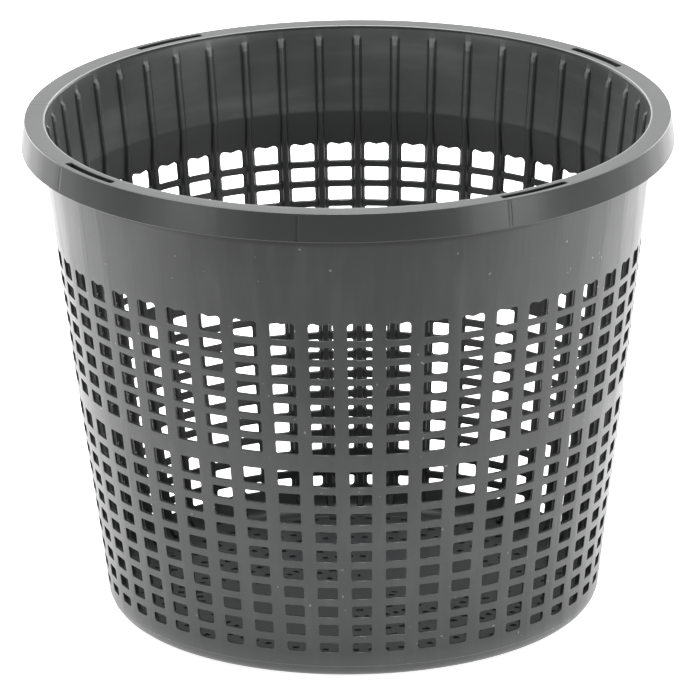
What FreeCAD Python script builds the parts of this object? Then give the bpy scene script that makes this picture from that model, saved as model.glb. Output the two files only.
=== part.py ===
import FreeCAD, Part
import math
import os
import Sketcher

Vector = FreeCAD.Vector

# Driving sizes: lengths in millimetres, angles in degrees
driving = {
    "height": 180.0,
    "rimOverhang": 5.2,
    "rimLip": 0.8,
    "skirtFlare": 1.3,
    "skirtDepth": 10.0,
    "skirtThickness": 1.8,
    "flangeThickness": 2.0,
    "wallTopRadius": 108.5,
    "wallFootRadius": 86.3,
    "wallThickness": 2.2,
    "footChamfer": 3.5,
    "footRing": 0.8,
    "floorThickness": 1.4,
    "innerChamfer": 2.0,
    "floorSeat": 0.5,
    "columns": 48,
    "barWidth": 4.95,
    "ribWidth": 2.9,
    "ribDepth": 1.9,
    "ribTopDepth": 1.2,
    "ribTopGap": 3.2,
    "lowerBottom": 10.65,
    "lowerWindow": 7.34,
    "lowerSlatHeight": 3.0,
    "lowerSlats": 6,
    "ringHeight": 6.5,
    "upperWindow": 7.89,
    "upperSlatHeight": 2.7,
    "upperSlats": 4,
    "slatInset": 0.1,
    "slatDepth": 2.0,
    "slatSeat": 0.4,
    "slotCount": 4,
    "slotGap": 0.5,
    "slotWidth": 2.5,
    "slotAngle": 14.4,
    "drainRings": 3,
    "drainRingPitch": 9.0,
    "drainFirstRadius": 55.0,
    "drainSize": 2.2,
    "drainCount": 24,
    "cutMargin": 1.0,
}

doc = FreeCAD.newDocument("PondBasket")
sheet = doc.addObject("Spreadsheet::Sheet", "Sizes")
for row, (alias, number) in enumerate(driving.items(), start=1):
    sheet.set(f"A{row}", alias)
    sheet.set(f"B{row}", str(number))
    sheet.setAlias(f"B{row}", alias)
doc.recompute()

body = doc.addObject("PartDesign::Body", "basket")
body.Label = "basket"


class Size:
    """A number together with the formula on the sheet that gives it."""

    def __init__(self, value, formula):
        self.value = value
        self.formula = formula

    def __add__(self, other):
        other = asSize(other)
        return Size(self.value + other.value, f"({self.formula} + {other.formula})")

    def __sub__(self, other):
        other = asSize(other)
        return Size(self.value - other.value, f"({self.formula} - {other.formula})")

    def __mul__(self, other):
        other = asSize(other)
        return Size(self.value * other.value, f"{self.formula} * {other.formula}")

    def __truediv__(self, other):
        other = asSize(other)
        return Size(self.value / other.value, f"{self.formula} / {other.formula}")

    def __neg__(self):
        return Size(-self.value, f"(0 - {self.formula})")


def asSize(number):
    """A plain number as a Size, and a Size as it is."""
    return number if isinstance(number, Size) else Size(number, repr(number))


def named(alias):
    """The driving size of that name."""
    return Size(driving[alias], f"Sizes.{alias}")


def originPlane(role):
    """One of the body's own origin planes."""
    return next(item for item in body.Origin.OriginFeatures if item.Role == role)


def drawOutlines(name, role, outlines, turned=False):
    """A sketch of closed outlines, each corner held to the sheet by its two coordinates."""
    sketch = body.newObject("Sketcher::SketchObject", name)
    sketch.AttachmentSupport = (originPlane(role), "")
    sketch.MapMode = "FlatFace"
    if turned:
        upAxis = Vector(0, 0, 1) if role == "XY_Plane" else Vector(0, 1, 0)
        halfPitch = 180 / driving["columns"]
        sketch.AttachmentOffset = FreeCAD.Placement(Vector(), FreeCAD.Rotation(upAxis, halfPitch))
        sketch.setExpression("AttachmentOffset.Rotation.Angle", "180deg / Sizes.columns")
    for outline in outlines:
        addOutline(sketch, outline)
    return sketch


def addOutline(sketch, outline):
    """Straight edges round the corners, joined end to start."""
    corners = [Vector(across.value, up.value, 0) for across, up in outline]
    first = sketch.GeometryCount
    count = len(corners)
    edges = [Part.LineSegment(corners[i], corners[(i + 1) % count]) for i in range(count)]
    sketch.addGeometry(edges, False)
    rules = [Sketcher.Constraint("Coincident", first + i, 2, first + (i + 1) % count, 1)
             for i in range(count)]
    sketch.addConstraint(rules)
    for i, (across, up) in enumerate(outline):
        holdCorner(sketch, first + i, "DistanceX", across, -2)
        holdCorner(sketch, first + i, "DistanceY", up, -1)


def holdCorner(sketch, edge, direction, size, axis):
    """An edge's start held at a distance from the sketch's origin."""
    if size.value == 0:
        sketch.addConstraint(Sketcher.Constraint("PointOnObject", edge, 1, axis))
    elif size.value > 0:
        index = sketch.addConstraint(
            Sketcher.Constraint(direction, -1, 1, edge, 1, size.value))
        sketch.setExpression(f"Constraints[{index}]", size.formula)
    else:
        index = sketch.addConstraint(
            Sketcher.Constraint(direction, edge, 1, -1, 1, -size.value))
        sketch.setExpression(f"Constraints[{index}]", (-size).formula)


height = named("height")
wall = named("wallThickness")
halfTurn = math.radians(180 / driving["columns"])
cosHalf = Size(math.cos(halfTurn), "cos(180deg / Sizes.columns)")
tanHalf = Size(math.tan(halfTurn), "tan(180deg / Sizes.columns)")


def facet(level):
    """Distance from the axis to the middle of a column's flat outer face at a level."""
    slope = (named("wallTopRadius") - named("wallFootRadius")) / height
    return (named("wallFootRadius") + slope * level) * cosHalf


def slatBottom(start, window, tall, index):
    """Lower edge of a slat in a bay that starts with a window."""
    return start + window * (index + 1) + tall * index


lowerStart = named("lowerBottom")
lowerEnd = slatBottom(lowerStart, named("lowerWindow"), named("lowerSlatHeight"),
                      driving["lowerSlats"])
upperStart = lowerEnd + named("ringHeight")
upperEnd = slatBottom(upperStart, named("upperWindow"), named("upperSlatHeight"),
                      driving["upperSlats"])
floorTop = named("footRing") + named("floorThickness")
bend = floorTop + named("innerChamfer")
chamfer = named("footChamfer")
footInner = facet(chamfer) - chamfer - wall
margin = named("cutMargin")


def addPad(name, sketch, length):
    """A pad to both sides of its sketch."""
    pad = body.newObject("PartDesign::Pad", name)
    pad.Profile = sketch
    pad.Type = "Length"
    pad.SideType = "Symmetric"
    pad.Length = length.value
    pad.setExpression("Length", length.formula)
    pad.Refine = False
    return pad


def addPocket(name, sketch):
    """A cut through everything on both sides of its sketch."""
    pocket = body.newObject("PartDesign::Pocket", name)
    pocket.Profile = sketch
    pocket.Type = "ThroughAll"
    pocket.SideType = "Symmetric"
    pocket.Refine = False
    return pocket


slabWidth = (facet(height) * tanHalf + named("barWidth")) * 2


def ribSlab():
    """The depth of the ribs, as a slab across one column."""
    ribTop = height - named("ribTopGap")
    shoulder = ribTop - named("ribTopDepth")
    ribStart = floorTop - named("floorThickness") / 2
    middle = wall / 2
    outline = [
        (facet(ribStart) - wall - named("ribDepth"), ribStart),
        (footInner + middle, ribStart),
        (facet(bend) - middle, bend),
        (facet(ribTop) - middle, ribTop + middle),
        (facet(shoulder) - wall - named("ribTopDepth"), shoulder),
    ]
    return addPad("RibSlab", drawOutlines("RibSection", "XZ_Plane", [outline], True), slabWidth)


def ribGaps():
    """The space between two ribs, which stand on the bars' middles."""
    outline = widening(-margin, height + margin, named("ribWidth") / 2)
    return addPocket("RibGap", drawOutlines("RibGapFront", "YZ_Plane", [outline], True))


def widening(low, high, half):
    """A column's front between two levels, less half a bar or rib at each side."""
    lowHalf = facet(low) * tanHalf - half
    highHalf = facet(high) * tanHalf - half
    return [(-lowHalf, low), (lowHalf, low), (highHalf, high), (-highHalf, high)]


def wallSlab():
    """The wall of one column, flat between its two bars, with its foot."""
    top = height - named("flangeThickness") / 2
    outline = [
        (footInner, asSize(0.0)),
        (facet(chamfer) - chamfer, asSize(0.0)),
        (facet(chamfer), chamfer),
        (facet(top), top),
        (facet(top) - wall, top),
        (facet(bend) - wall, bend),
        (footInner, bend - facet(bend) + wall + footInner),
    ]
    return addPad("WallSlab", drawOutlines("WallSection", "XZ_Plane", [outline], True), slabWidth)


def columnSides():
    """The slab cut back to its own share of the circle."""
    near = footInner - named("ribDepth") - margin
    far = facet(height) + margin
    wide = slabWidth
    left = [(near, near * tanHalf), (far, far * tanHalf), (far, wide), (near, wide)]
    right = [(across, -up) for across, up in left]
    return addPocket("ColumnSides", drawOutlines("ColumnPlan", "XY_Plane", [left, right], True))


def windowBays():
    """Two tall openings in a column, each to be divided by its slats."""
    half = named("barWidth") / 2
    outlines = [widening(lowerStart, lowerEnd, half), widening(upperStart, upperEnd, half)]
    return addPocket("WindowBays", drawOutlines("BayFront", "YZ_Plane", outlines, True))


def slats():
    """The bars across the bays, their ends inside the upright bars."""
    outlines = []
    for start, window, tall, count in (
            (lowerStart, named("lowerWindow"), named("lowerSlatHeight"), driving["lowerSlats"]),
            (upperStart, named("upperWindow"), named("upperSlatHeight"), driving["upperSlats"])):
        for index in range(count):
            low = slatBottom(start, window, tall, index)
            outlines.append(slatSection(low, tall))
    reach = (facet(upperEnd) * tanHalf - named("barWidth") / 2 + named("slatSeat")) * 2
    return addPad("Slats", drawOutlines("SlatSections", "XZ_Plane", outlines, True), reach)


def slatSection(low, tall):
    """A slat's section: flat outside, set a little back, and a ridge towards the inside."""
    high = low + tall
    middle = low + tall / 2
    inset = named("slatInset")
    ridge = facet(middle) - inset - named("slatDepth")
    return [(facet(low) - inset, low), (facet(high) - inset, high), (ridge, middle)]


def wholeWall():
    """The column repeated all the way round."""
    ring = body.newObject("PartDesign::PolarPattern", "Columns")
    ring.TransformMode = "Whole shape"
    ring.Axis = (doc.getObject("SlatSections"), ["V_Axis"])
    ring.Angle = 360
    ring.Occurrences = driving["columns"]
    ring.setExpression("Occurrences", "Sizes.columns")
    ring.Refine = False
    body.Tip = ring
    return ring


def floorPlate():
    """The floor, a little above the ring that the basket stands on."""
    edge = facet(bend) - wall - named("innerChamfer") + named("floorSeat")
    low = named("footRing")
    outline = [(asSize(0.0), low), (edge, low), (edge, floorTop), (asSize(0.0), floorTop)]
    return revolve("Floor", drawOutlines("FloorSection", "XZ_Plane", [outline]))


def revolve(name, sketch):
    """A full turn of a section about the upright axis."""
    turn = body.newObject("PartDesign::Revolution", name)
    turn.Profile = sketch
    turn.ReferenceAxis = (sketch, ["V_Axis"])
    turn.Angle = 360
    turn.Refine = False
    return turn


def rim():
    """The flange round the mouth with the skirt that hangs from its edge."""
    outer = named("wallTopRadius") + named("rimOverhang")
    inner = named("wallTopRadius") - wall - named("rimLip")
    under = height - named("flangeThickness")
    hem = height - named("skirtDepth")
    thick = named("skirtThickness")
    outline = [
        (inner, under),
        (outer - thick, under),
        (outer + named("skirtFlare") - thick, hem),
        (outer + named("skirtFlare"), hem),
        (outer, height),
        (inner, height),
    ]
    return revolve("Rim", drawOutlines("RimSection", "XZ_Plane", [outline]))


def floorDrains():
    """Small square drain holes in rings, cut through the floor along one spoke and repeated."""
    half = named("drainSize") / 2
    outlines = []
    for ring in range(driving["drainRings"]):
        near = named("drainFirstRadius") + named("drainRingPitch") * ring
        far = near + named("drainSize")
        outlines.append([(near, -half), (far, -half), (far, half), (near, half)])
    sketch = drawOutlines("DrainPlan", "XY_Plane", outlines)
    return repeated("Drains", addPocket("DrainSpoke", sketch), (sketch, ["N_Axis"]), "drainCount")


def repeated(name, feature, axis, countName):
    """A feature repeated evenly round the upright axis."""
    around = body.newObject("PartDesign::PolarPattern", name)
    around.Originals = [feature]
    around.Axis = axis
    around.Angle = 360
    around.Occurrences = driving[countName]
    around.setExpression("Occurrences", f"Sizes.{countName}")
    around.Refine = False
    body.Tip = around
    return around


def flangeSlots():
    """The curved slots through the flange, each centred on a bar."""
    near = named("wallTopRadius") + named("slotGap")
    far = near + named("slotWidth")
    low = height - named("flangeThickness") - margin
    high = height + margin
    outline = [(near, low), (far, low), (far, high), (near, high)]
    sketch = drawOutlines("SlotSection", "XZ_Plane", [outline])
    slot = body.newObject("PartDesign::Groove", "Slot")
    slot.Profile = sketch
    slot.ReferenceAxis = (sketch, ["V_Axis"])
    slot.Angle = driving["slotAngle"]
    slot.setExpression("Angle", "Sizes.slotAngle")
    slot.Midplane = True
    slot.Refine = False
    return repeated("Slots", slot, (sketch, ["V_Axis"]), "slotCount")


ribSlab()
ribGaps()
wallSlab()
columnSides()
windowBays()
slats()
doc.recompute()
wholeWall()
floorPlate()
floorDrains()
rim()
flangeSlots()
doc.recompute()

for item in doc.Objects:
    if "Invalid" in item.State or "Error" in item.State:
        raise RuntimeError(f"{item.Name} did not compute: {item.State}")
shape = body.Shape
if shape.isNull() or not shape.isValid() or len(shape.Solids) != 1:
    raise RuntimeError("basket is not one valid solid")
os.makedirs("parts", exist_ok=True)
shape.exportStep("parts/basket.step")
print("basket", round(shape.Volume / 1000, 1), "cm3,", len(shape.Faces), "faces")
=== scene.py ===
import bmesh
import bpy
import math
from mathutils import Matrix, Vector
from types import SimpleNamespace


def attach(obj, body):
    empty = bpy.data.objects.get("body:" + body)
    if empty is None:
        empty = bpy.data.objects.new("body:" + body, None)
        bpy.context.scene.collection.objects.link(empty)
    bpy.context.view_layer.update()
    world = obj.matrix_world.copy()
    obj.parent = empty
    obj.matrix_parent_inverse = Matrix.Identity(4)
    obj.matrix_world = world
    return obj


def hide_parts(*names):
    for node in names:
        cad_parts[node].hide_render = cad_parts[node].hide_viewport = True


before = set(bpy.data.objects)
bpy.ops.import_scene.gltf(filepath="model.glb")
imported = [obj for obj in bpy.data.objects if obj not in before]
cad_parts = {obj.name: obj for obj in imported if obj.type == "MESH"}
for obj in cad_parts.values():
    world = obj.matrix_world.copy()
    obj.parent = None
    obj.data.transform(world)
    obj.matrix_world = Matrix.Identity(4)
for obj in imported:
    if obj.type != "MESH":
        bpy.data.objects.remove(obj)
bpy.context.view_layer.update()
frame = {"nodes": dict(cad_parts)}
print("frame loaded:", ", ".join(frame["nodes"]))

# Lengths are metres and angles are degrees unless a note says otherwise.

wall = {
    "columns": 48,
    "height": 0.180,
    "topRadius": 0.1085,       # outside, at the full height
    "footRadius": 0.0863,      # outside, carried on down to the ground
    "thickness": 0.0022,       # measured level
    "belly": 0.0005,           # the windowed part swells by this between these levels
    "bellyLevels": (0.022, 0.155),
    "barWidth": 0.00495,
    "firstLow": 0.01090,
    "lowerStart": 0.01005,
    "lowerPitch": 0.00718,
    "lowerOpen": 0.00425,
    "lowerRows": 10,
    "lowerTallest": 0.00165,   # the last lower row is taller by this
    "ringHeight": 0.0065,
    "upperPitch": 0.00722,
    "upperOpen": 0.00460,
    "upperRows": 7,
    "upperTallest": 0.00215,
    "topDip": 0.0011,          # sag in the middle of the top windows
    "topShoulder": 0.0018,
    "firstCorner": 0.0011,
    "cornerRadius": 0.0004,
    "recessLevels": (0.1492, 0.1465, 0.1435, 0.1400),
    "recess": 0.0010,          # the wall is thinner by this among the windows
    "recessCurve": 1.6,        # 1 would thin it evenly between those levels
    "slatLean": 0.00022,       # slats and bars narrow inwards by these, each side
    "barLean": 0.00070,
}

rim = {
    "outerRadius": 0.1137,
    "flare": 0.0013,
    "skirtDepth": 0.010,
    "slotInner": 0.1090,
    "slotOuter": 0.1115,
    "slotAngle": 14.4,
    "slotCorner": 0.0009,
    "slotCount": 4,
    "stepDepth": 0.0007,       # small step where the wall meets the flange
    "stepWidth": 0.00022,
}

foot = {
    "cornerRadius": 0.0060,    # inside; the outside corner is a wall larger
    "cornerSteps": 6,
    "reach": 0.0780,           # where the wall's moulding meets the floor plate
}

ribs = {
    "width": 0.0029,           # at the root, among the windows
    "bandWidth": 0.0023,       # at the root, in the plain band
    "crest": 0.66,             # the crest's width as a share of the root's
    "top": 0.1762,
    "depth": 0.0012,           # over the plain band
    "tipDrop": 0.0014,
    "sink": 0.0010,            # the ribs are lower by this among the windows
}

rounding = {
    "slat": 0.00038,           # inner edges of the slats
    "crest": 0.00042,
    "window": 0.00020,         # outer edges of the windows
    "rim": 0.00028,
    "hem": 0.00040,
    "turn": 50,                # edges that turn by less stay as they are
}

pitch = 2 * math.pi / wall["columns"]
slope = (wall["topRadius"] - wall["footRadius"]) / wall["height"]
footTop = foot["cornerRadius"] + wall["thickness"]    # the foot's rounding ends here
stepLevel = wall["height"] - rim["stepDepth"]

near = 0.0001       # places closer than this count as the same
weld = 2e-5         # points closer than this are joined
sliver = 1e-7       # a cut that passes a point closer than this goes through it


def innerRadius(level):
    low, high = wall["bellyLevels"]
    part = min(max((level - low) / (high - low), 0), 1)
    outer = wall["footRadius"] + slope * level + wall["belly"] * math.sin(math.pi * part)
    return outer - wall["thickness"]


def windowRows():
    # Bottom and top of every row of windows, as seen on the outside.
    rows = []
    for i in range(wall["lowerRows"]):
        low = wall["lowerStart"] + i * wall["lowerPitch"]
        rows.append([low, low + wall["lowerOpen"]])
    rows[0][0] = wall["firstLow"]
    rows[-1][1] += wall["lowerTallest"]
    start = rows[-1][1] + wall["ringHeight"]
    for i in range(wall["upperRows"]):
        low = start + i * wall["upperPitch"]
        rows.append([low, low + wall["upperOpen"]])
    rows[-1][1] += wall["upperTallest"]
    return rows


def insideRows():
    # The windows are square to the sloping wall, so on the sheet they lie a little higher.
    shift = wall["thickness"] * slope
    return [(low + shift, high + shift) for low, high in windowRows()]


def selectOnly(piece):
    bpy.ops.object.select_all(action="DESELECT")
    piece.select_set(True)
    bpy.context.view_layer.objects.active = piece


def openEdit(piece):
    selectOnly(piece)
    bpy.ops.object.mode_set(mode="EDIT")
    bpy.ops.mesh.select_mode(type="FACE")


def closeEdit():
    bpy.ops.object.mode_set(mode="OBJECT")


def pick(piece, part, test):
    # Selects the faces, edges or verts whose test is true and says how many.
    bpy.ops.mesh.select_mode(type={"faces": "FACE", "edges": "EDGE", "verts": "VERT"}[part])
    bpy.ops.mesh.select_all(action="DESELECT")
    mesh = bmesh.from_edit_mesh(piece.data)
    found = [item for item in getattr(mesh, part) if test(item)]
    for item in found:
        item.select_set(True)
    mesh.select_flush_mode()
    bmesh.update_edit_mesh(piece.data)
    return len(found)


def cut(point, normal):
    bpy.ops.mesh.select_all(action="SELECT")
    bpy.ops.mesh.bisect(plane_co=point, plane_no=normal, threshold=sliver)


def applyModifier(piece, kind, **settings):
    selectOnly(piece)
    modifier = piece.modifiers.new(kind.title(), kind)
    for key, value in settings.items():
        setattr(modifier, key, value)
    bpy.ops.object.modifier_apply(modifier=modifier.name)


def turnCopies(piece, angle, count):
    # Repeats the piece round the upright axis and joins the copies where they meet.
    turn = bpy.data.objects.new("turn", None)
    bpy.context.collection.objects.link(turn)
    turn.rotation_euler.z = angle
    bpy.context.view_layer.update()
    applyModifier(piece, "ARRAY", count=count, use_relative_offset=False,
                  use_object_offset=True, offset_object=turn, use_merge_vertices=True,
                  use_merge_vertices_cap=True, merge_threshold=weld)
    bpy.data.objects.remove(turn)
    openEdit(piece)
    bpy.ops.mesh.select_all(action="SELECT")
    bpy.ops.mesh.remove_doubles(threshold=weld)
    bpy.ops.mesh.normals_make_consistent(inside=False)
    closeEdit()


def radial(angle):
    return Vector((math.cos(angle), math.sin(angle), 0))


def tangent(angle):
    return Vector((-math.sin(angle), math.cos(angle), 0))


def levelRadius(point):
    return math.hypot(point.x, point.y)


def faces(face, angle, spread):
    # Whether a face lies within this spread of a direction from the axis.
    middle = face.calc_center_median().xy.normalized()
    return middle.dot(radial(angle).xy) >= math.cos(spread)


def nearestBar(point):
    return round(math.atan2(point.y, point.x) / pitch) * pitch


def barOffset(point):
    # Distance, along the wall, from the nearest bar's middle.
    return abs(tangent(nearestBar(point)).dot(point))


def addColumn():
    # One column of the wall's inside: a strip of a cone from bar to bar, its windows cut out.
    low, high = footTop, wall["height"]
    bpy.ops.object.select_all(action="DESELECT")
    bpy.ops.mesh.primitive_cone_add(
        vertices=wall["columns"], radius1=innerRadius(low), radius2=innerRadius(high),
        depth=high - low, end_fill_type="NOTHING", location=(0, 0, (low + high) / 2))
    column = bpy.context.object
    column.name = "basket"
    bpy.ops.object.transform_apply(location=True, rotation=True, scale=True)
    openEdit(column)
    middle = pitch / 2
    pick(column, "faces", lambda face: not faces(face, middle, pitch / 4))
    bpy.ops.mesh.delete(type="FACE")
    cutColumn(middle)
    cutWindows(column)
    closeEdit()
    for vertex in column.data.vertices:
        out = innerRadius(vertex.co.z) / levelRadius(vertex.co)
        vertex.co.x *= out
        vertex.co.y *= out
    return column


def cutColumn(middle):
    levels = [level for row in insideRows() for level in row]
    levels += wall["recessLevels"]
    levels += [ribs["top"], stepLevel, stepLevel - rim["stepWidth"]]
    for level in levels:
        cut((0, 0, level), (0, 0, 1))
    cut((0, 0, 0), tangent(middle))
    for side, bar in ((1, 0), (-1, pitch)):
        for offset in (ribs["width"] / 2, wall["barWidth"] / 2):
            cut(tangent(bar) * offset * side, tangent(bar))


def atLevel(place, levels):
    return any(abs(place.z - level) < near for level in levels)


def cutWindows(column):
    rows = insideRows()
    edge = wall["barWidth"] / 2

    def inWindow(face):
        centre = face.calc_center_median()
        inRow = any(low < centre.z < high for low, high in rows)
        return inRow and barOffset(centre) > edge

    count = pick(column, "faces", inWindow)
    bpy.ops.mesh.delete(type="FACE")
    print("windows in a column:", count // 2)    # each is cut in two halves
    topLevel = rows[-1][1]
    pick(column, "verts", lambda vertex: atLevel(vertex.co, [topLevel])
         and barOffset(vertex.co) > edge + near)
    bpy.ops.transform.translate(value=(0, 0, -wall["topDip"]))
    corners = {level: wall["cornerRadius"] for row in rows for level in row}
    corners[topLevel] = wall["topShoulder"]
    corners[rows[0][0]] = wall["firstCorner"]
    for radius in sorted(set(corners.values())):
        levels = [level for level in corners if corners[level] == radius]
        pick(column, "verts", lambda vertex: atLevel(vertex.co, levels)
             and abs(barOffset(vertex.co) - edge) < near)
        steps = 3 if radius > wall["cornerRadius"] else 1
        bpy.ops.mesh.bevel(offset=radius, segments=steps, affect="VERTICES", clamp_overlap=False)


def extendEdge(column, level, profile):
    # Pulls the loop at a level along a profile of radius and height.
    pick(column, "edges", lambda edge: all(atLevel(v.co, [level]) for v in edge.verts))
    radius = innerRadius(level)
    for nextRadius, nextLevel in profile:
        bpy.ops.mesh.extrude_region_move(
            TRANSFORM_OT_translate={"value": (0, 0, nextLevel - level)})
        grow = nextRadius / radius
        bpy.ops.transform.resize(value=(grow, grow, 1), center_override=(0, 0, 0))
        radius, level = nextRadius, nextLevel


def footProfile():
    radius = foot["cornerRadius"]
    centre = innerRadius(footTop) - radius
    profile = []
    for step in range(1, foot["cornerSteps"]):
        angle = math.pi / 2 * step / foot["cornerSteps"]
        profile.append((centre + radius * math.cos(angle), footTop - radius * math.sin(angle)))
    profile.append((centre, wall["thickness"]))
    profile.append((foot["reach"], wall["thickness"]))
    return profile


def makeSheet():
    column = addColumn()
    openEdit(column)
    top = wall["height"]
    extendEdge(column, top, [
        (rim["slotInner"], top), (rim["slotOuter"], top), (rim["outerRadius"], top),
        (rim["outerRadius"] + rim["flare"], top - rim["skirtDepth"])])
    extendEdge(column, footTop, footProfile())
    closeEdit()
    turnCopies(column, pitch, wall["columns"])
    faceInwards(column)
    print("sheet of the basket:", len(column.data.polygons), "faces")
    return column


def faceInwards(piece):
    # The sheet's front is the inside of the wall, the top of the flange and the skirt's outside.
    skirtLevel = wall["height"] - rim["skirtDepth"]
    lean = sum(face.normal.dot(Vector((face.center.x, face.center.y, 0)))
               for face in piece.data.polygons if face.center.z < skirtLevel)
    if lean > 0:
        piece.data.flip_normals()


basket = makeSheet()


def slotAway(point):
    # Angle to the middle of the nearest slot.
    quarter = 2 * math.pi / rim["slotCount"]
    angle = math.atan2(point.y, point.x)
    return abs(angle - round(angle / quarter) * quarter)


def cutSlots(piece):
    half = math.radians(rim["slotAngle"] / 2)
    flangeLevel = wall["height"] - near
    openEdit(piece)
    for i in range(rim["slotCount"]):
        for side in (-1, 1):
            end = 2 * math.pi * i / rim["slotCount"] + half * side
            pick(piece, "faces", lambda face: face.calc_center_median().z > flangeLevel
                 and faces(face, end, pitch))
            bpy.ops.mesh.bisect(plane_co=(0, 0, 0), plane_no=tangent(end), threshold=sliver)

    def inSlot(face):
        middle = face.calc_center_median()
        return (middle.z > flangeLevel and slotAway(middle) < half
                and rim["slotInner"] < levelRadius(middle) < rim["slotOuter"])

    pick(piece, "faces", inSlot)
    bpy.ops.mesh.delete(type="FACE")
    pick(piece, "verts", lambda vertex: vertex.is_boundary and vertex.co.z > flangeLevel
         and abs(slotAway(vertex.co) - half) < near)
    bpy.ops.mesh.bevel(offset=rim["slotCorner"], segments=3, affect="VERTICES")
    closeEdit()


cutSlots(basket)
applyModifier(basket, "SOLIDIFY", thickness=wall["thickness"] * math.cos(math.atan(slope)),
              offset=-1, use_even_offset=True, use_quality_normals=True)
print("basket with its thickness:", len(basket.data.polygons), "faces")


def raiseRibs(piece):
    openEdit(piece)
    half = ribs["width"] / 2

    def onRib(face):
        centre = face.calc_center_median()
        outwards = face.normal.dot(Vector((centre.x, centre.y, 0)).normalized())
        inwards = outwards < -math.cos(math.pi / 4)
        return inwards and barOffset(centre) < half and centre.z < ribs["top"]

    pick(piece, "faces", onRib)
    bpy.ops.mesh.extrude_region_shrink_fatten(
        TRANSFORM_OT_shrink_fatten={"value": ribs["depth"]})
    closeEdit()


raiseRibs(basket)


def amongWindows(level):
    # 0 in the plain band and 1 among the windows.
    high, low = wall["recessLevels"][0], wall["recessLevels"][-1]
    return min(max((high - level) / (high - low), 0), 1)


def recessDepth(level):
    # The wall thins in a curve just above the windows.
    return wall["recess"] * amongWindows(level) ** wall["recessCurve"]


def rootWidth(level):
    return ribs["bandWidth"] + (ribs["width"] - ribs["bandWidth"]) * amongWindows(level)


def widened(value, middle, half, lean):
    return middle + (value - middle) * (half + lean) / half


def shapeInside(piece):
    # Narrows the ribs, slopes the sides of the windows, and thins the wall among them.
    halfRib = ribs["width"] / 2
    for vertex in piece.data.vertices:
        level, radius = vertex.co.z, levelRadius(vertex.co)
        angle = math.atan2(vertex.co.y, vertex.co.x)
        bar = nearestBar(vertex.co)
        aside = tangent(bar).dot(vertex.co)
        rise = innerRadius(level) - radius
        onWall = abs(rise) < near
        onCrest = rise > ribs["depth"] / 2 and abs(aside) < halfRib + near
        if onWall and level > stepLevel - near:
            radius += rim["stepWidth"]
        elif onCrest and level < ribs["top"] + ribs["depth"]:
            if level > footTop + near:
                radius += ribs["sink"] * amongWindows(level)
            angle = bar + aside * rootWidth(level) / ribs["width"] * ribs["crest"] / radius
            if level > ribs["top"] - near:
                level -= ribs["tipDrop"]
        elif onWall and level > footTop + near:
            if abs(aside) > halfRib + near:
                angle, level = slopedWindow(angle, level, radius, bar, aside)
            elif abs(aside) > halfRib - near:
                angle = bar + aside * rootWidth(level) / ribs["width"] / radius
            radius = innerRadius(level) + recessDepth(level)
        else:
            continue
        vertex.co = Vector((0, 0, level)) + radial(angle) * radius


def slopedWindow(angle, level, radius, bar, aside):
    # A window's edge inside moves outwards from the window's middle.
    for low, high in insideRows():
        if low - near < level < high + near:
            bay = bar + math.copysign(pitch / 2, aside)
            half = pitch / 2 - wall["barWidth"] / 2 / radius
            angle = widened(angle, bay, half, wall["barLean"] / radius)
            return angle, widened(level, (low + high) / 2, (high - low) / 2, wall["slatLean"])
    return angle, level


shapeInside(basket)


def edgeWidth(edge):
    # How far each kind of edge is rounded, apart from the windows' edges outside.
    middle, run = edgeLine(edge)
    if middle.z > wall["height"] - 2 * near:
        return rounding["rim"]
    if levelRadius(middle) > rim["outerRadius"] - wall["thickness"] * 1.2:
        return rounding["hem"]
    depth = depthInWall(middle)
    if depth < wall["recess"] * 0.5 and barOffset(middle) < ribs["width"] * 0.52:
        return rounding["crest"] if middle.z > footTop else 0
    if depth < wall["recess"] * 1.2 and abs(run.z) < 0.5:
        return rounding["slat"]
    return 0


def windowEdgeWidth(edge):
    middle, run = edgeLine(edge)
    amongRows = wall["firstLow"] - 0.001 < middle.z < wall["recessLevels"][0]
    return rounding["window"] if amongRows and depthInWall(middle) > wall["recess"] * 1.2 else 0


def edgeLine(edge):
    # Middle and direction of an edge.
    first, second = (vertex.co for vertex in edge.verts)
    return (first + second) / 2, (second - first).normalized()


def depthInWall(point):
    # Distance outwards from the inside of the plain wall.
    return levelRadius(point) - innerRadius(point.z)


def roundEdges(piece, widthOf, segments):
    # Rounds the outstanding edges, each by its own width.
    mesh = bmesh.new()
    mesh.from_mesh(piece.data)
    weights = mesh.edges.layers.float.new("bevel_weight_edge")
    widest = max(rounding["slat"], rounding["crest"], rounding["hem"])
    limit = math.radians(rounding["turn"])
    for edge in mesh.edges:
        if len(edge.link_faces) == 2 and edge.calc_face_angle_signed() > limit:
            edge[weights] = widthOf(edge) / widest
    mesh.to_mesh(piece.data)
    mesh.free()
    applyModifier(piece, "BEVEL", width=widest, segments=segments, limit_method="WEIGHT",
                  use_clamp_overlap=False)
    piece.data.attributes.remove(piece.data.attributes["bevel_weight_edge"])


def finishShading(piece):
    selectOnly(piece)
    bpy.ops.object.shade_smooth_by_angle(angle=math.radians(rounding["turn"]))
    applyModifier(piece, "WEIGHTED_NORMAL", keep_sharp=True)
    triangles = sum(len(face.vertices) - 2 for face in piece.data.polygons)
    print(piece.name + ":", triangles, "triangles")


roundEdges(basket, edgeWidth, 2)
roundEdges(basket, windowEdgeWidth, 1)
finishShading(basket)


plate = {
    "top": 0.00205,
    "thickness": 0.00125,
    "radius": 0.0784,
    "sectors": 24,
    "hub": 0.0055,
    "drainSize": 0.0022,
    "drainPitch": 0.0067,
    # Rings of drains: first radius, how many rings, drains in a sector, all the way round or not.
    "bands": ((0.0549, 4, 3, True), (0.0281, 4, 2, False), (0.0147, 2, 1, False)),
    "openHalf": 45,            # the inner drains lie this far each side of the Y axis
}


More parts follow.
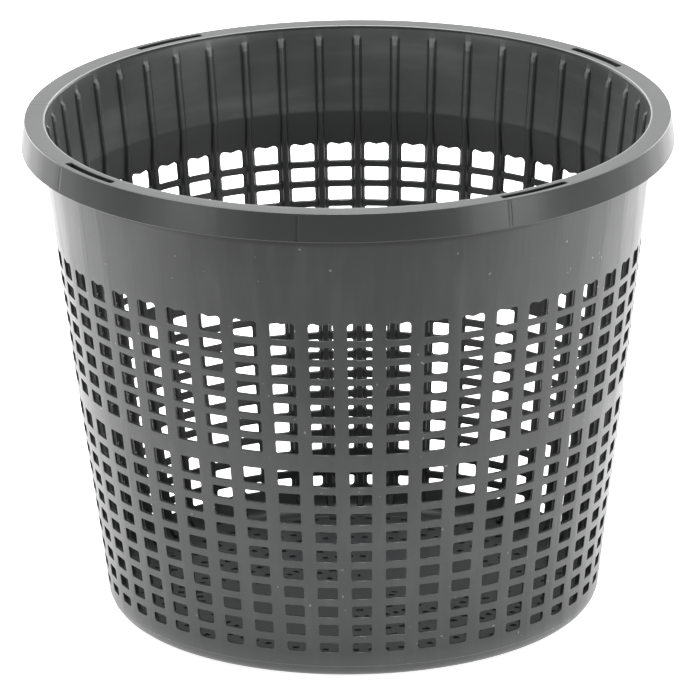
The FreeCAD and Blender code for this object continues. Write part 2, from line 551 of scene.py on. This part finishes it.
def drainRadii(band):
    return [band[0] + i * plate["drainPitch"] for i in range(band[1])]


def drainAngles(band):
    # Middles of a band's drains within a sector, from its own middle, in radians.
    sector = 2 * math.pi / plate["sectors"]
    return [sector * ((i + 0.5) / band[2] - 0.5) for i in range(band[2])]


def drainHalf(band):
    middle = sum(drainRadii(band)) / band[1]
    return plate["drainSize"] / 2 / middle


def makeFloor():
    # One sector of the plate is cut as a straight strip and then bent round the axis.
    sector = 2 * math.pi / plate["sectors"]
    reach = plate["radius"] - plate["hub"]
    bpy.ops.object.select_all(action="DESELECT")
    bpy.ops.mesh.primitive_plane_add(
        size=1, location=((plate["radius"] + plate["hub"]) / 2, 0, plate["top"]))
    floor = bpy.context.object
    floor.name = "floorPlate"
    floor.scale = (reach, sector, 1)
    bpy.ops.object.transform_apply(location=True, rotation=True, scale=True)
    openEdit(floor)
    cut((0, 0, 0), (0, 1, 0))
    for band in plate["bands"]:
        for radius in drainRadii(band):
            for side in (-1, 1):
                cut((radius + side * plate["drainSize"] / 2, 0, 0), (1, 0, 0))
        for angle in drainAngles(band):
            for side in (-1, 1):
                cut((0, angle + side * drainHalf(band), 0), (0, 1, 0))
    closeEdit()
    for vertex in floor.data.vertices:
        vertex.co = radial(vertex.co.y) * vertex.co.x + Vector((0, 0, vertex.co.z))
    turnCopies(floor, sector, plate["sectors"])
    openEdit(floor)
    print("drains cut from", pick(floor, "faces", inDrain), "faces")
    bpy.ops.mesh.delete(type="FACE")
    pick(floor, "edges", lambda edge: all(levelRadius(v.co) < plate["hub"] + near
                                          for v in edge.verts))
    bpy.ops.mesh.edge_face_add()
    bpy.ops.mesh.select_all(action="SELECT")
    bpy.ops.mesh.normals_make_consistent(inside=False)
    closeEdit()
    if floor.data.polygons[0].normal.z < 0:
        floor.data.flip_normals()
    applyModifier(floor, "SOLIDIFY", thickness=plate["thickness"], offset=-1)
    return floor


def inDrain(face):
    point = face.calc_center_median()
    radius, angle = levelRadius(point), math.atan2(point.y, point.x)
    sector = 2 * math.pi / plate["sectors"]
    within = angle - round(angle / sector) * sector
    fromY = abs(abs(angle) - math.pi / 2)
    for band in plate["bands"]:
        inRing = any(abs(radius - ring) < plate["drainSize"] / 2 for ring in drainRadii(band))
        inGap = any(abs(within - middle) < drainHalf(band) for middle in drainAngles(band))
        if inRing and inGap and (band[3] or fromY < math.radians(plate["openHalf"])):
            return True
    return False


floorPlate = makeFloor()
finishShading(floorPlate)


class Field:
    # A value that varies over the surface, usable in plain arithmetic.
    def __init__(self, paint, socket):
        self.paint = paint
        self.socket = socket

    def __add__(self, other):
        return self.paint.maths("ADD", self, other)

    def __sub__(self, other):
        return self.paint.maths("SUBTRACT", self, other)

    def __rsub__(self, other):
        return self.paint.maths("SUBTRACT", other, self)

    def __mul__(self, other):
        return self.paint.maths("MULTIPLY", self, other)

    def __truediv__(self, other):
        return self.paint.maths("DIVIDE", self, other)

    __radd__ = __add__
    __rmul__ = __mul__


class Paint:
    def __init__(self, tree):
        self.tree = tree
        self.tree.nodes.clear()

    def node(self, kind, settings=None, values=None, output=0):
        made = self.tree.nodes.new(kind)
        for key, value in (settings or {}).items():
            setattr(made, key, value)
        for key, value in (values or {}).items():
            if isinstance(value, Field):
                self.tree.links.new(value.socket, made.inputs[key])
            else:
                made.inputs[key].default_value = value
        return Field(self, made.outputs[output]) if made.outputs else made

    def maths(self, operation, first, second=0.0):
        return self.node("ShaderNodeMath", {"operation": operation}, {0: first, 1: second})

    def ramp(self, value, low, high):
        # Rises softly from 0 at low to 1 at high, or falls where high is the smaller.
        return self.node("ShaderNodeMapRange", {"interpolation_type": "SMOOTHSTEP"}, {
            "Value": value, "From Min": low, "From Max": high})

    def between(self, value, rise, fall):
        # 1 between two soft edges and 0 beyond them.
        return self.ramp(value, *rise) * (1 - self.ramp(value, *fall))

    def line(self, value, centre, half, soft):
        # 1 near the centre and 0 away from it.
        away = self.maths("ABSOLUTE", value - centre)
        return 1 - self.ramp(away, half, half + soft)

    def noise(self, place, scale, detail):
        return self.node("ShaderNodeTexNoise", {}, {
            "Vector": place, "Scale": scale, "Detail": detail})

    def vector(self, x, y, z):
        return self.node("ShaderNodeCombineXYZ", {}, {"X": x, "Y": y, "Z": z})

    def parts(self, place):
        # The x, y and z of a vector.
        return [self.node("ShaderNodeSeparateXYZ", {}, {0: place}, output=i) for i in range(3)]

    def mix(self, factor, first, second):
        return self.node("ShaderNodeMix", {"data_type": "RGBA"}, {
            "Factor": factor, 6: first, 7: second}, output=2)


def newMaterial(name):
    material = bpy.data.materials.new(name)
    material.use_nodes = True
    return material, Paint(material.node_tree)


plastic = {
    "colour": (0.0230, 0.0242, 0.0244, 1),
    "pale": (0.0440, 0.0455, 0.0455, 1),
    # A paler grey, for the inside of the plain band, where dust lies over painted light, and for
    # the outer foot.
    "paleGrey": (0.0900, 0.0920, 0.0920, 1),
    "dark": (0.0060, 0.0062, 0.0062, 1),
    # A pale grey for the parting line, flecks and specks, and for the painted highlights on the
    # ribs' tips and the lip.
    "paleMarks": (0.2600, 0.2650, 0.2650, 1),
    "matt": (0.0190, 0.0200, 0.0204, 1),
    "roughness": 0.33,
    "cloudRoughness": 0.14,    # the clouds and the streaks change it by up to half of these
    "streakRoughness": 0.16,
    "mattRoughness": 0.5,
    "refraction": 1.49,

    # Noises: scale and detail, and for some how far they are stretched round and up the wall.
    "streaks": (26.0, 5.0),
    "streakStretch": (0.5, 1.2),
    "fine": (60.0, 3.0),
    "fineStretch": (1.0, 0.8),
    "scuffs": (2.4, 5.0),
    "scuffStretch": (8.0, 60.0),
    "clouds": (34.0, 4.0),
    "grain": (1500.0, 3.0),
    "flecks": (700.0, 1.0),
    "specks": (640.0, 0.0),
    "smudges": (16.0, 6.0),

    # Values of a noise between which its mark appears.
    "streaksShow": (0.42, 0.75),
    "sinksShow": (0.35, 0.7),
    "dustShows": (0.25, 0.75),
    "scuffsShow": (0.45, 0.75),
    "flecksShow": (0.60, 0.66),
    "fleckClouds": (0.45, 0.60),
    "specksShow": (0.845, 0.865),
    "smudgesShow": (0.45, 0.75),

    # How far each mark is mixed in, from 0 to 1, by the colour that it brings.
    "paleStreaks": 0.50,
    # The next share lifts the whole inside of the plain band evenly: painted light.
    "paintedLightAll": 0.28,
    "dustyClouds": 0.30,
    "dustyScuffs": 0.40,
    # The outer foot is paler by this share.
    "paleBase": 0.25,
    "wornParting": 0.16,
    "wornFlecks": 0.6,
    "wornSpecks": 0.5,
    # The next two are painted highlights, on the ribs' tips and on the lip.
    "highlightTips": 0.35,
    "highlightLip": 0.5,
    "darkMarks": 0.45,
    # The step, the ribs' feet, the wall under the skirt and the inside get painted shade by these.
    "darkStep": 0.9,
    "darkRibs": 0.75,
    "darkSkirt": 0.8,
    "darkInside": 0.35,
    "darkBottom": 0.40,        # more of it towards the floor
    "darkSmudges": 0.5,
    "mattFlanks": 0.85,
    "mattBottom": 0.75,
    "mattMost": 0.9,

    # Depths behind the wall's outer face.
    "skin": (0.0009, 0.0003),
    "flankStart": (0.00015, 0.00030),
    "flankEnd": (0.00095, 0.00115),

    # Depths below the top.
    "hem": (0.0105, 0.0115),
    "bandTop": (0.0009, 0.0012),
    "lip": (0.0004, 0.0001),
    "skirtMarkTop": (0.0003, 0.0010),
    "skirtMarkEnd": (0.0090, 0.0100),
    "flangeMarkTop": (0.0005, 0.0001),

    # Distances outwards from the mouth's edge.
    "lipReach": (0.0009, 0.0006),
    "stepReach": (0.0006, 0.0004),
    "stepSoft": 0.00006,

    # Levels.
    "floorLevels": (0.0010, 0.0016),
    "base": (0.011, 0.006),
    "flankFoot": (0.008, 0.010),
    "flankTop": (0.146, 0.149),
    "bottom": (0.060, 0.012),
    "bottomMatt": (0.045, 0.010),
    "inside": (0.148, 0.143),
    "bandFoot": (0.1484, 0.1496),
    "underSkirt": (0.1652, 0.1668),
    "partingLevel": 0.0053,
    "partingWave": 0.0006,
    "partingLine": (0.00008, 0.00014),    # half its width, and its soft edge

    # Across a bar: cosines, 1 at its middle.
    "sinkAcross": (0.2, 1.0),
    "tipAcross": (0.86, 0.93),
    "ribFootAcross": (0.77, 0.07, 0.08),
    "tipAlong": (0.0011, 0.0009),

    # Marks of the flow, in degrees round the axis, and their widths in radians.
    "skirtMarks": (173.4, -134.5, -96.6),
    "skirtMarkLine": (0.0035, 0.004),
    "flangeMark": 135.9,
    "flangeMarkLine": (0.0020, 0.0020),

    # Heights in the bump, as shares of its distance.
    "grainHeight": 0.10,
    "sinkHeight": 0.8,
    "streakHeight": 1.2,
    "skirtMarkHeight": 1.2,
    "flangeMarkHeight": 1.6,
    "partingHeight": 0.6,
    "bumpStrength": 0.35,
    "bumpDistance": 0.0002,
}


def findZones(paint):
    # Where a point lies on the basket, and how far it belongs to each zone, from 0 to 1.
    at = SimpleNamespace(place=paint.node("ShaderNodeTexCoord", output="Object"))
    at.x, at.y, at.level = paint.parts(at.place)
    at.radius = paint.maths("SQRT", at.x * at.x + at.y * at.y)
    at.angle = paint.maths("ARCTAN2", at.y, at.x)
    at.beat = paint.maths("COSINE", at.angle * wall["columns"])
    at.below = wall["height"] - at.level
    at.fromMouth = at.radius - innerRadius(wall["height"])
    low, high = wall["bellyLevels"]
    part = paint.maths("MINIMUM", paint.maths("MAXIMUM", (at.level - low) / (high - low), 0), 1)
    belly = paint.maths("SINE", part * math.pi) * wall["belly"]
    at.depth = wall["footRadius"] + at.level * slope + belly - at.radius
    onWall = paint.ramp(at.depth, *plastic["skin"])
    at.outside = onWall * paint.ramp(at.below, *plastic["hem"])
    at.band = ((1 - onWall) * paint.ramp(at.level, *plastic["bandFoot"])
               * paint.ramp(at.below, *plastic["bandTop"]))
    at.inside = (1 - onWall) * belowBand(paint, at)
    return at


def belowBand(paint, at):
    # At the foot the inside is told from the outside by the distance to the rounding's centre.
    centre = innerRadius(footTop) - foot["cornerRadius"]
    fromCentre = at.radius - centre
    fromTop = at.level - footTop
    away = paint.maths("SQRT", fromCentre * fromCentre + fromTop * fromTop)
    rounded = paint.ramp(away, footTop - 0.0008, foot["cornerRadius"] + 0.0006)
    floor = paint.ramp(fromCentre, 0.0008, 0) * paint.ramp(at.level, *plastic["floorLevels"])
    return paint.maths("MAXIMUM", paint.maths("MAXIMUM", rounded, floor),
                       paint.ramp(fromTop, -0.0002, 0.0004))


def addPatterns(paint, at):
    # Flow streaks run up the wall, wavy and uneven; the sinks over the ribs are regular.
    def alongWall(stretch):
        around, up = stretch
        return paint.vector(at.x / at.radius * around, at.y / at.radius * around, at.level * up)

    at.streaks = paint.noise(alongWall(plastic["streakStretch"]), *plastic["streaks"])
    at.clouds = paint.noise(at.place, *plastic["clouds"])
    at.sinks = (paint.ramp(at.beat, *plastic["sinkAcross"]) * at.outside
                * paint.ramp(at.streaks, *plastic["sinksShow"]))
    fine = paint.noise(alongWall(plastic["fineStretch"]), *plastic["fine"])
    parting = plastic["partingLevel"] + (fine - 0.5) * plastic["partingWave"]
    at.parting = paint.line(at.level, parting, *plastic["partingLine"]) * (1 - at.inside)
    marks = sum(paint.line(at.angle, math.radians(turn), *plastic["skirtMarkLine"])
                for turn in plastic["skirtMarks"])
    at.marks = marks * paint.between(at.below, plastic["skirtMarkTop"], plastic["skirtMarkEnd"])


def plasticColour(paint, at):
    # Each mix lays one kind of mark over the last.
    streaks = paint.ramp(at.streaks, *plastic["streaksShow"]) * at.outside
    colour = paint.mix(streaks * plastic["paleStreaks"], plastic["colour"], plastic["pale"])

    # The plain band inside is paler: clouds and scuffs of dust over an even lift that is painted
    # light. The outer foot is paler too.
    around, up = plastic["scuffStretch"]
    scuffs = paint.noise(paint.vector(at.x * around, at.y * around, at.level * up),
                         *plastic["scuffs"])
    dustAndLight = (paint.ramp(at.clouds, *plastic["dustShows"]) * plastic["dustyClouds"]
            + paint.ramp(scuffs, *plastic["scuffsShow"]) * plastic["dustyScuffs"]
            + plastic["paintedLightAll"])
    base = (1 - at.inside) * paint.ramp(at.level, *plastic["base"])
    colour = paint.mix(dustAndLight * at.band + base * plastic["paleBase"], colour, plastic["paleGrey"])

    flecks = paint.ramp(paint.noise(at.place, *plastic["flecks"]), *plastic["flecksShow"])
    flecks = flecks * paint.ramp(at.clouds, *plastic["fleckClouds"])
    specks = paint.ramp(paint.noise(at.place, *plastic["specks"]), *plastic["specksShow"])
    paleMarks = (at.parting * (plastic["wornParting"] + flecks * plastic["wornFlecks"])
            + specks * at.outside * plastic["wornSpecks"])
    colour = paint.mix(paleMarks, colour, plastic["paleMarks"])

    # Painted highlights on the ribs' tips and on the lip, where they catch the light.
    tips = (paint.ramp(at.beat, *plastic["tipAcross"]) * at.band
            * paint.line(at.level, ribs["top"] - ribs["tipDrop"], *plastic["tipAlong"]))
    lip = paint.ramp(at.below, *plastic["lip"]) * paint.ramp(at.fromMouth, *plastic["lipReach"])
    colour = paint.mix(tips * plastic["highlightTips"] + lip * plastic["highlightLip"],
                       colour, plastic["paleMarks"])
    return paint.mix(shadeAndMarks(paint, at), colour, plastic["dark"])


def shadeAndMarks(paint, at):
    # Painted shade where little light comes: beside the ribs, under the skirt, in the step and
    # inside. The skirt's flow marks and the smudges outside are darker too.
    step = (paint.line(at.below, rim["stepDepth"] - rim["stepWidth"], rim["stepWidth"],
                       plastic["stepSoft"])
            * paint.ramp(at.fromMouth, *plastic["stepReach"]))
    ribFeet = (paint.line(at.beat, *plastic["ribFootAcross"]) * at.band
               * paint.ramp(at.level, ribs["top"], ribs["top"] - 0.001))
    underSkirt = at.outside * paint.ramp(at.level, *plastic["underSkirt"])
    bottom = paint.ramp(at.level, *plastic["bottom"]) * plastic["darkBottom"]
    inside = (at.inside * paint.ramp(at.level, *plastic["inside"])
              * (plastic["darkInside"] + bottom))
    smudges = paint.ramp(paint.noise(at.place, *plastic["smudges"]), *plastic["smudgesShow"])
    return (at.marks * plastic["darkMarks"] + step * plastic["darkStep"]
            + ribFeet * plastic["darkRibs"] + underSkirt * plastic["darkSkirt"]
            + inside + smudges * at.outside * plastic["darkSmudges"])


def plasticBump(paint, at):
    grain = paint.noise(at.place, *plastic["grain"])
    flangeMark = (paint.line(at.angle, math.radians(plastic["flangeMark"]),
                             *plastic["flangeMarkLine"])
                  * paint.ramp(at.below, *plastic["flangeMarkTop"]))
    height = (grain * plastic["grainHeight"] + at.sinks * plastic["sinkHeight"]
              + (at.streaks - 0.5) * at.outside * plastic["streakHeight"]
              - at.marks * plastic["skirtMarkHeight"]
              + flangeMark * plastic["flangeMarkHeight"]
              + at.parting * plastic["partingHeight"])
    return paint.node("ShaderNodeBump", {}, {
        "Height": height, "Strength": plastic["bumpStrength"],
        "Distance": plastic["bumpDistance"]})


def mattShare(paint, at):
    # The sides of the windows and the bottom of the inside are matt.
    flanks = (paint.between(at.depth, plastic["flankStart"], plastic["flankEnd"])
              * paint.between(at.level, plastic["flankFoot"], plastic["flankTop"]))
    bottom = at.inside * paint.ramp(at.level, *plastic["bottomMatt"])
    return paint.maths("MINIMUM", flanks * plastic["mattFlanks"] + bottom * plastic["mattBottom"],
                       plastic["mattMost"])


def paintPlastic():
    material, paint = newMaterial("mouldedPlastic")
    at = findZones(paint)
    addPatterns(paint, at)
    roughness = (plastic["roughness"] + (at.clouds - 0.5) * plastic["cloudRoughness"]
                 + (at.streaks - 0.5) * at.outside * plastic["streakRoughness"])
    glossy = paint.node("ShaderNodeBsdfPrincipled", {}, {
        "Base Color": plasticColour(paint, at), "Roughness": roughness,
        "IOR": plastic["refraction"], "Normal": plasticBump(paint, at)})
    matt = paint.node("ShaderNodeBsdfDiffuse", {}, {
        "Color": plastic["matt"], "Roughness": plastic["mattRoughness"]})
    mixed = paint.node("ShaderNodeMixShader", {}, {0: mattShare(paint, at), 1: glossy, 2: matt})
    paint.node("ShaderNodeOutputMaterial", {}, {"Surface": mixed})
    return material


moulded = paintPlastic()
for piece in (basket, floorPlate):
    piece.data.materials.clear()
    piece.data.materials.append(moulded)
    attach(piece, "root")
    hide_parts("basket")
print("materials done")

studio = {
    "floorSize": 2.8,
    "floorColour": (0.62, 0.62, 0.62, 1),
    "floorFar": (0.24, 0.24, 0.24, 1),
    "floorRoughness": 0.9,
    "floorGlow": 1.45,         # the table is lit from below as well
    "floorFront": (0.15, 0.34),           # from the axis, it darkens between these
    "floorSides": (0.35, 0.75),
    "bright": 1.6,             # of the tent round the basket
    "dim": 0.35,               # of its open side, behind the camera
    "openTurn": -35.6,
    "openRise": 20,
    "openEdge": (-0.65, 0.25),            # cosines between which the tent darkens
    "boxTurn": 140,            # of the two softboxes from the open side
    "boxAway": 4.2,
    "boxHeight": 0.9,
    "boxSize": 2.6,
    "boxPower": (120, 130),    # watts, left and right
    "frontTurn": 56,           # of the two small lights in front
    "frontAway": 2.4,
    "frontHeight": 0.22,
    "frontSize": 1.0,
    "frontPower": (11, 21),
    "topSize": 1.2,
    "topHeight": 2.2,
    "topPower": 100,
}

camera = {
    "distance": 3.36726,       # level, from the basket's axis
    "height": 1.23960,
    "turn": -35.52,
    "aim": 0.0160,             # to the left of the axis
    "pitch": 18.8019,
    "roll": -0.7422,
    "lens": 519.6,             # millimetres, as is the sensor
    "sensor": 36.0,
    "farthest": 50.0,
}


def addFloor():
    bpy.ops.object.select_all(action="DESELECT")
    bpy.ops.mesh.primitive_plane_add(size=studio["floorSize"], location=(0, 0, 0))
    ground = bpy.context.object
    ground.name = "studioFloor"
    material, paint = newMaterial("studioFloor")
    x, y = paint.parts(paint.node("ShaderNodeTexCoord", output="Object"))[:2]
    turn = math.radians(studio["openTurn"])
    front = paint.ramp(x * math.sin(turn) - y * math.cos(turn), *studio["floorFront"])
    sides = paint.ramp(paint.maths("ABSOLUTE", x * math.cos(turn) + y * math.sin(turn)),
                       *studio["floorSides"])
    lit = (1 - front) * (1 - sides)
    colour = paint.mix(lit, studio["floorFar"], studio["floorColour"])
    surface = paint.node("ShaderNodeBsdfPrincipled", {}, {
        "Base Color": colour, "Roughness": studio["floorRoughness"],
        "Emission Color": colour, "Emission Strength": studio["floorGlow"]})
    paint.node("ShaderNodeOutputMaterial", {}, {"Surface": surface})
    ground.data.materials.append(material)


def addLight():
    world = bpy.data.worlds.new("studio")
    bpy.context.scene.world = world
    world.use_nodes = True
    paint = Paint(world.node_tree)
    turn, rise = math.radians(studio["openTurn"]), math.radians(studio["openRise"])
    openSide = (math.sin(turn) * math.cos(rise), -math.cos(turn) * math.cos(rise), math.sin(rise))
    towards = paint.node("ShaderNodeVectorMath", {"operation": "DOT_PRODUCT"}, {
        0: paint.node("ShaderNodeTexCoord", output="Generated"), 1: openSide}, output="Value")
    opening = paint.ramp(towards, *studio["openEdge"])
    strength = studio["bright"] + opening * (studio["dim"] - studio["bright"])
    light = paint.node("ShaderNodeBackground", {}, {"Color": (1, 1, 1, 1), "Strength": strength})
    paint.node("ShaderNodeOutputWorld", {}, {"Surface": light})
    for kind in ("box", "front"):
        for side, power in zip((-1, 1), studio[kind + "Power"]):
            around = math.radians(studio["openTurn"] - 90 + side * studio[kind + "Turn"])
            place = radial(around) * studio[kind + "Away"] + Vector((0, 0, studio[kind + "Height"]))
            addSoftbox(place, studio[kind + "Size"], power)
    addSoftbox(Vector((0, 0, studio["topHeight"])), studio["topSize"], studio["topPower"])


def addSoftbox(place, size, power):
    data = bpy.data.lights.new("softbox", "AREA")
    data.shape = "SQUARE"
    data.size = size
    data.energy = power
    box = bpy.data.objects.new("softbox", data)
    bpy.context.collection.objects.link(box)
    box.location = place
    box.rotation_euler = place.to_track_quat("Z", "Y").to_euler()
    box.visible_camera = False


def addCamera():
    data = bpy.data.cameras.new("camera")
    data.lens = camera["lens"]
    data.sensor_width = camera["sensor"]
    data.clip_end = camera["farthest"]
    taken = bpy.data.objects.new("camera", data)
    bpy.context.collection.objects.link(taken)
    around = Matrix.Rotation(math.radians(camera["turn"]), 4, "Z")
    place = around @ Vector((0, -camera["distance"], camera["height"]))
    look = (Matrix.Rotation(math.radians(camera["turn"] + camera["aim"]), 4, "Z")
            @ Matrix.Rotation(math.radians(90 - camera["pitch"]), 4, "X")
            @ Matrix.Rotation(math.radians(camera["roll"]), 4, "Z"))
    taken.matrix_world = Matrix.Translation(place) @ look
    bpy.context.scene.camera = taken


addFloor()
addLight()
addCamera()
bpy.context.scene.view_settings.view_transform = "Standard"
print("studio and camera done")
